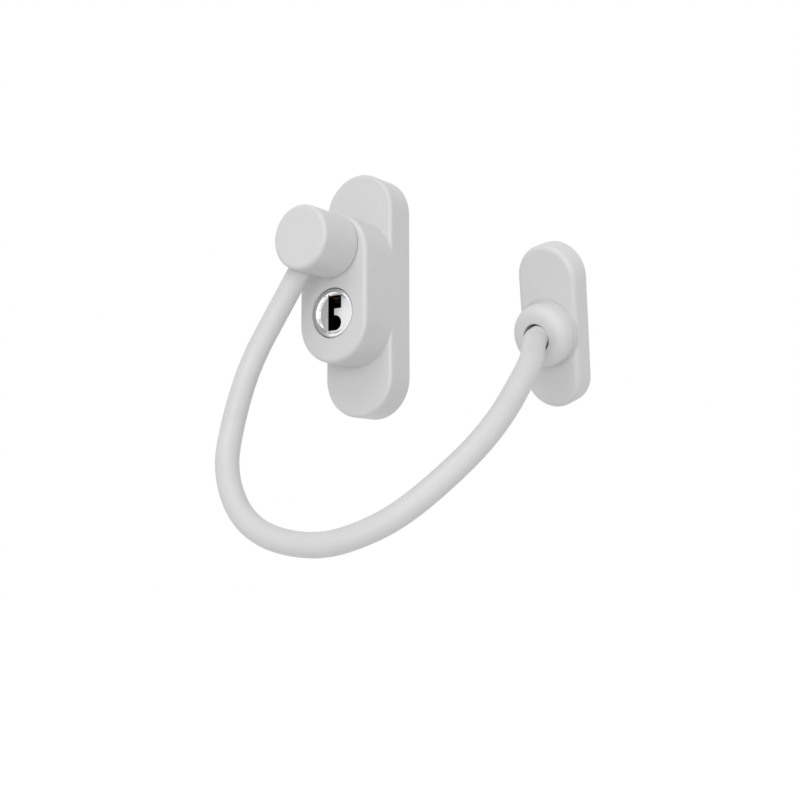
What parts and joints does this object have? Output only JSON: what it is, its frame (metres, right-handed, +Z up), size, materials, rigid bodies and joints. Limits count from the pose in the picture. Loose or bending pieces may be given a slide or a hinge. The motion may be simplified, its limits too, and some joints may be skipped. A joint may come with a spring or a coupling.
{
  "type": "window restrictor",
  "caption": "Key-locked window restrictor: round-ended lock body with a plug-in knob on a short white cable that ends in a small screw-on anchor.",
  "frame": {"origin": "midway between the lock's two screw holes, on the lock's flat back", "axes": "+Y points out of the lock's back into the window frame, so the front looks along -Y; +Z is up along the lock's length, from the key cylinder to the knob; +X points to the anchor's side"},
  "size_m": [0.0815, 0.0832, 0.1082],
  "materials": {
    "white_cover": "white moulded plastic, satin gloss",
    "white_knob": "white moulded plastic, satin gloss",
    "white_sheath": "extruded white PVC over a steel rope, satin",
    "zinc": "bare zinc die casting, dull grey",
    "steel": "zinc-plated and turned steel",
    "chrome": "polished nickel-chrome plating",
    "brass": "stamped brass",
    "nylon": "natural nylon, matte"
  },
  "bodies": {
    "lock": {"lock_cover": "white_cover", "lock_base": "zinc", "latch_keeper": "steel", "keeper_screws": "steel", "barrel": "chrome", "barrel_dowel": "steel", "cable": "white_sheath", "anchor_ferrule": "steel"},
    "plug": {"plug": "chrome", "crank": "steel", "wafer_spring_1": "steel", "wafer_spring_2": "steel", "wafer_spring_3": "steel", "wafer_spring_4": "steel"},
    "wafer_1": {"wafer_1": "brass"},
    "wafer_2": {"wafer_2": "brass"},
    "wafer_3": {"wafer_3": "brass"},
    "wafer_4": {"wafer_4": "brass"},
    "latch": {"latch": "steel"},
    "knob": {"knob": "white_knob", "knob_ring": "steel", "knob_ferrule": "steel"},
    "pin": {"knob_pin": "steel"},
    "anchor": {"anchor_cover": "white_cover", "anchor_base": "zinc", "anchor_washer": "nylon"}
  },
  "joints": [
    {"name": "key_turn", "type": "hinge", "parent": "lock", "child": "plug", "pos_m": [0, 0, -0.0069], "axis": [0, -1, 0], "range_deg": [0, 90]},
    {"name": "latch_slide", "type": "slide", "parent": "lock", "child": "latch", "axis": [0, 0, 1], "range_m": [0, 0.00453]},
    {"name": "knob_pull", "type": "slide", "parent": "lock", "child": "knob", "axis": [0, -1, 0], "range_m": [0, 0.022], "deforming": ["cable"]},
    {"name": "knob_swivel", "type": "hinge", "parent": "knob", "child": "pin", "pos_m": [0, 0, 0.0116], "axis": [0, -1, 0], "continuous": true},
    {"name": "anchor_swivel", "type": "hinge", "parent": "lock", "child": "anchor", "pos_m": [0.05038, 0.01714, -0.01067], "axis": [-0.1563, -0.9178, -0.3649], "continuous": true},
    {"name": "wafer_1_slide", "type": "slide", "parent": "plug", "child": "wafer_1", "axis": [0, 0, -1], "range_m": [0, 0.0006], "deforming": ["wafer_spring_1"]},
    {"name": "wafer_2_slide", "type": "slide", "parent": "plug", "child": "wafer_2", "axis": [0, 0, -1], "range_m": [0, 0.0006], "deforming": ["wafer_spring_2"]},
    {"name": "wafer_3_slide", "type": "slide", "parent": "plug", "child": "wafer_3", "axis": [0, 0, -1], "range_m": [0, 0.0006], "deforming": ["wafer_spring_3"]},
    {"name": "wafer_4_slide", "type": "slide", "parent": "plug", "child": "wafer_4", "axis": [0, 0, -1], "range_m": [0, 0.0006], "deforming": ["wafer_spring_4"]}
  ],
  "couplings": [
    {"joint": "latch_slide", "follows": "key_turn", "m_per_rad": 0.002881}
  ]
}
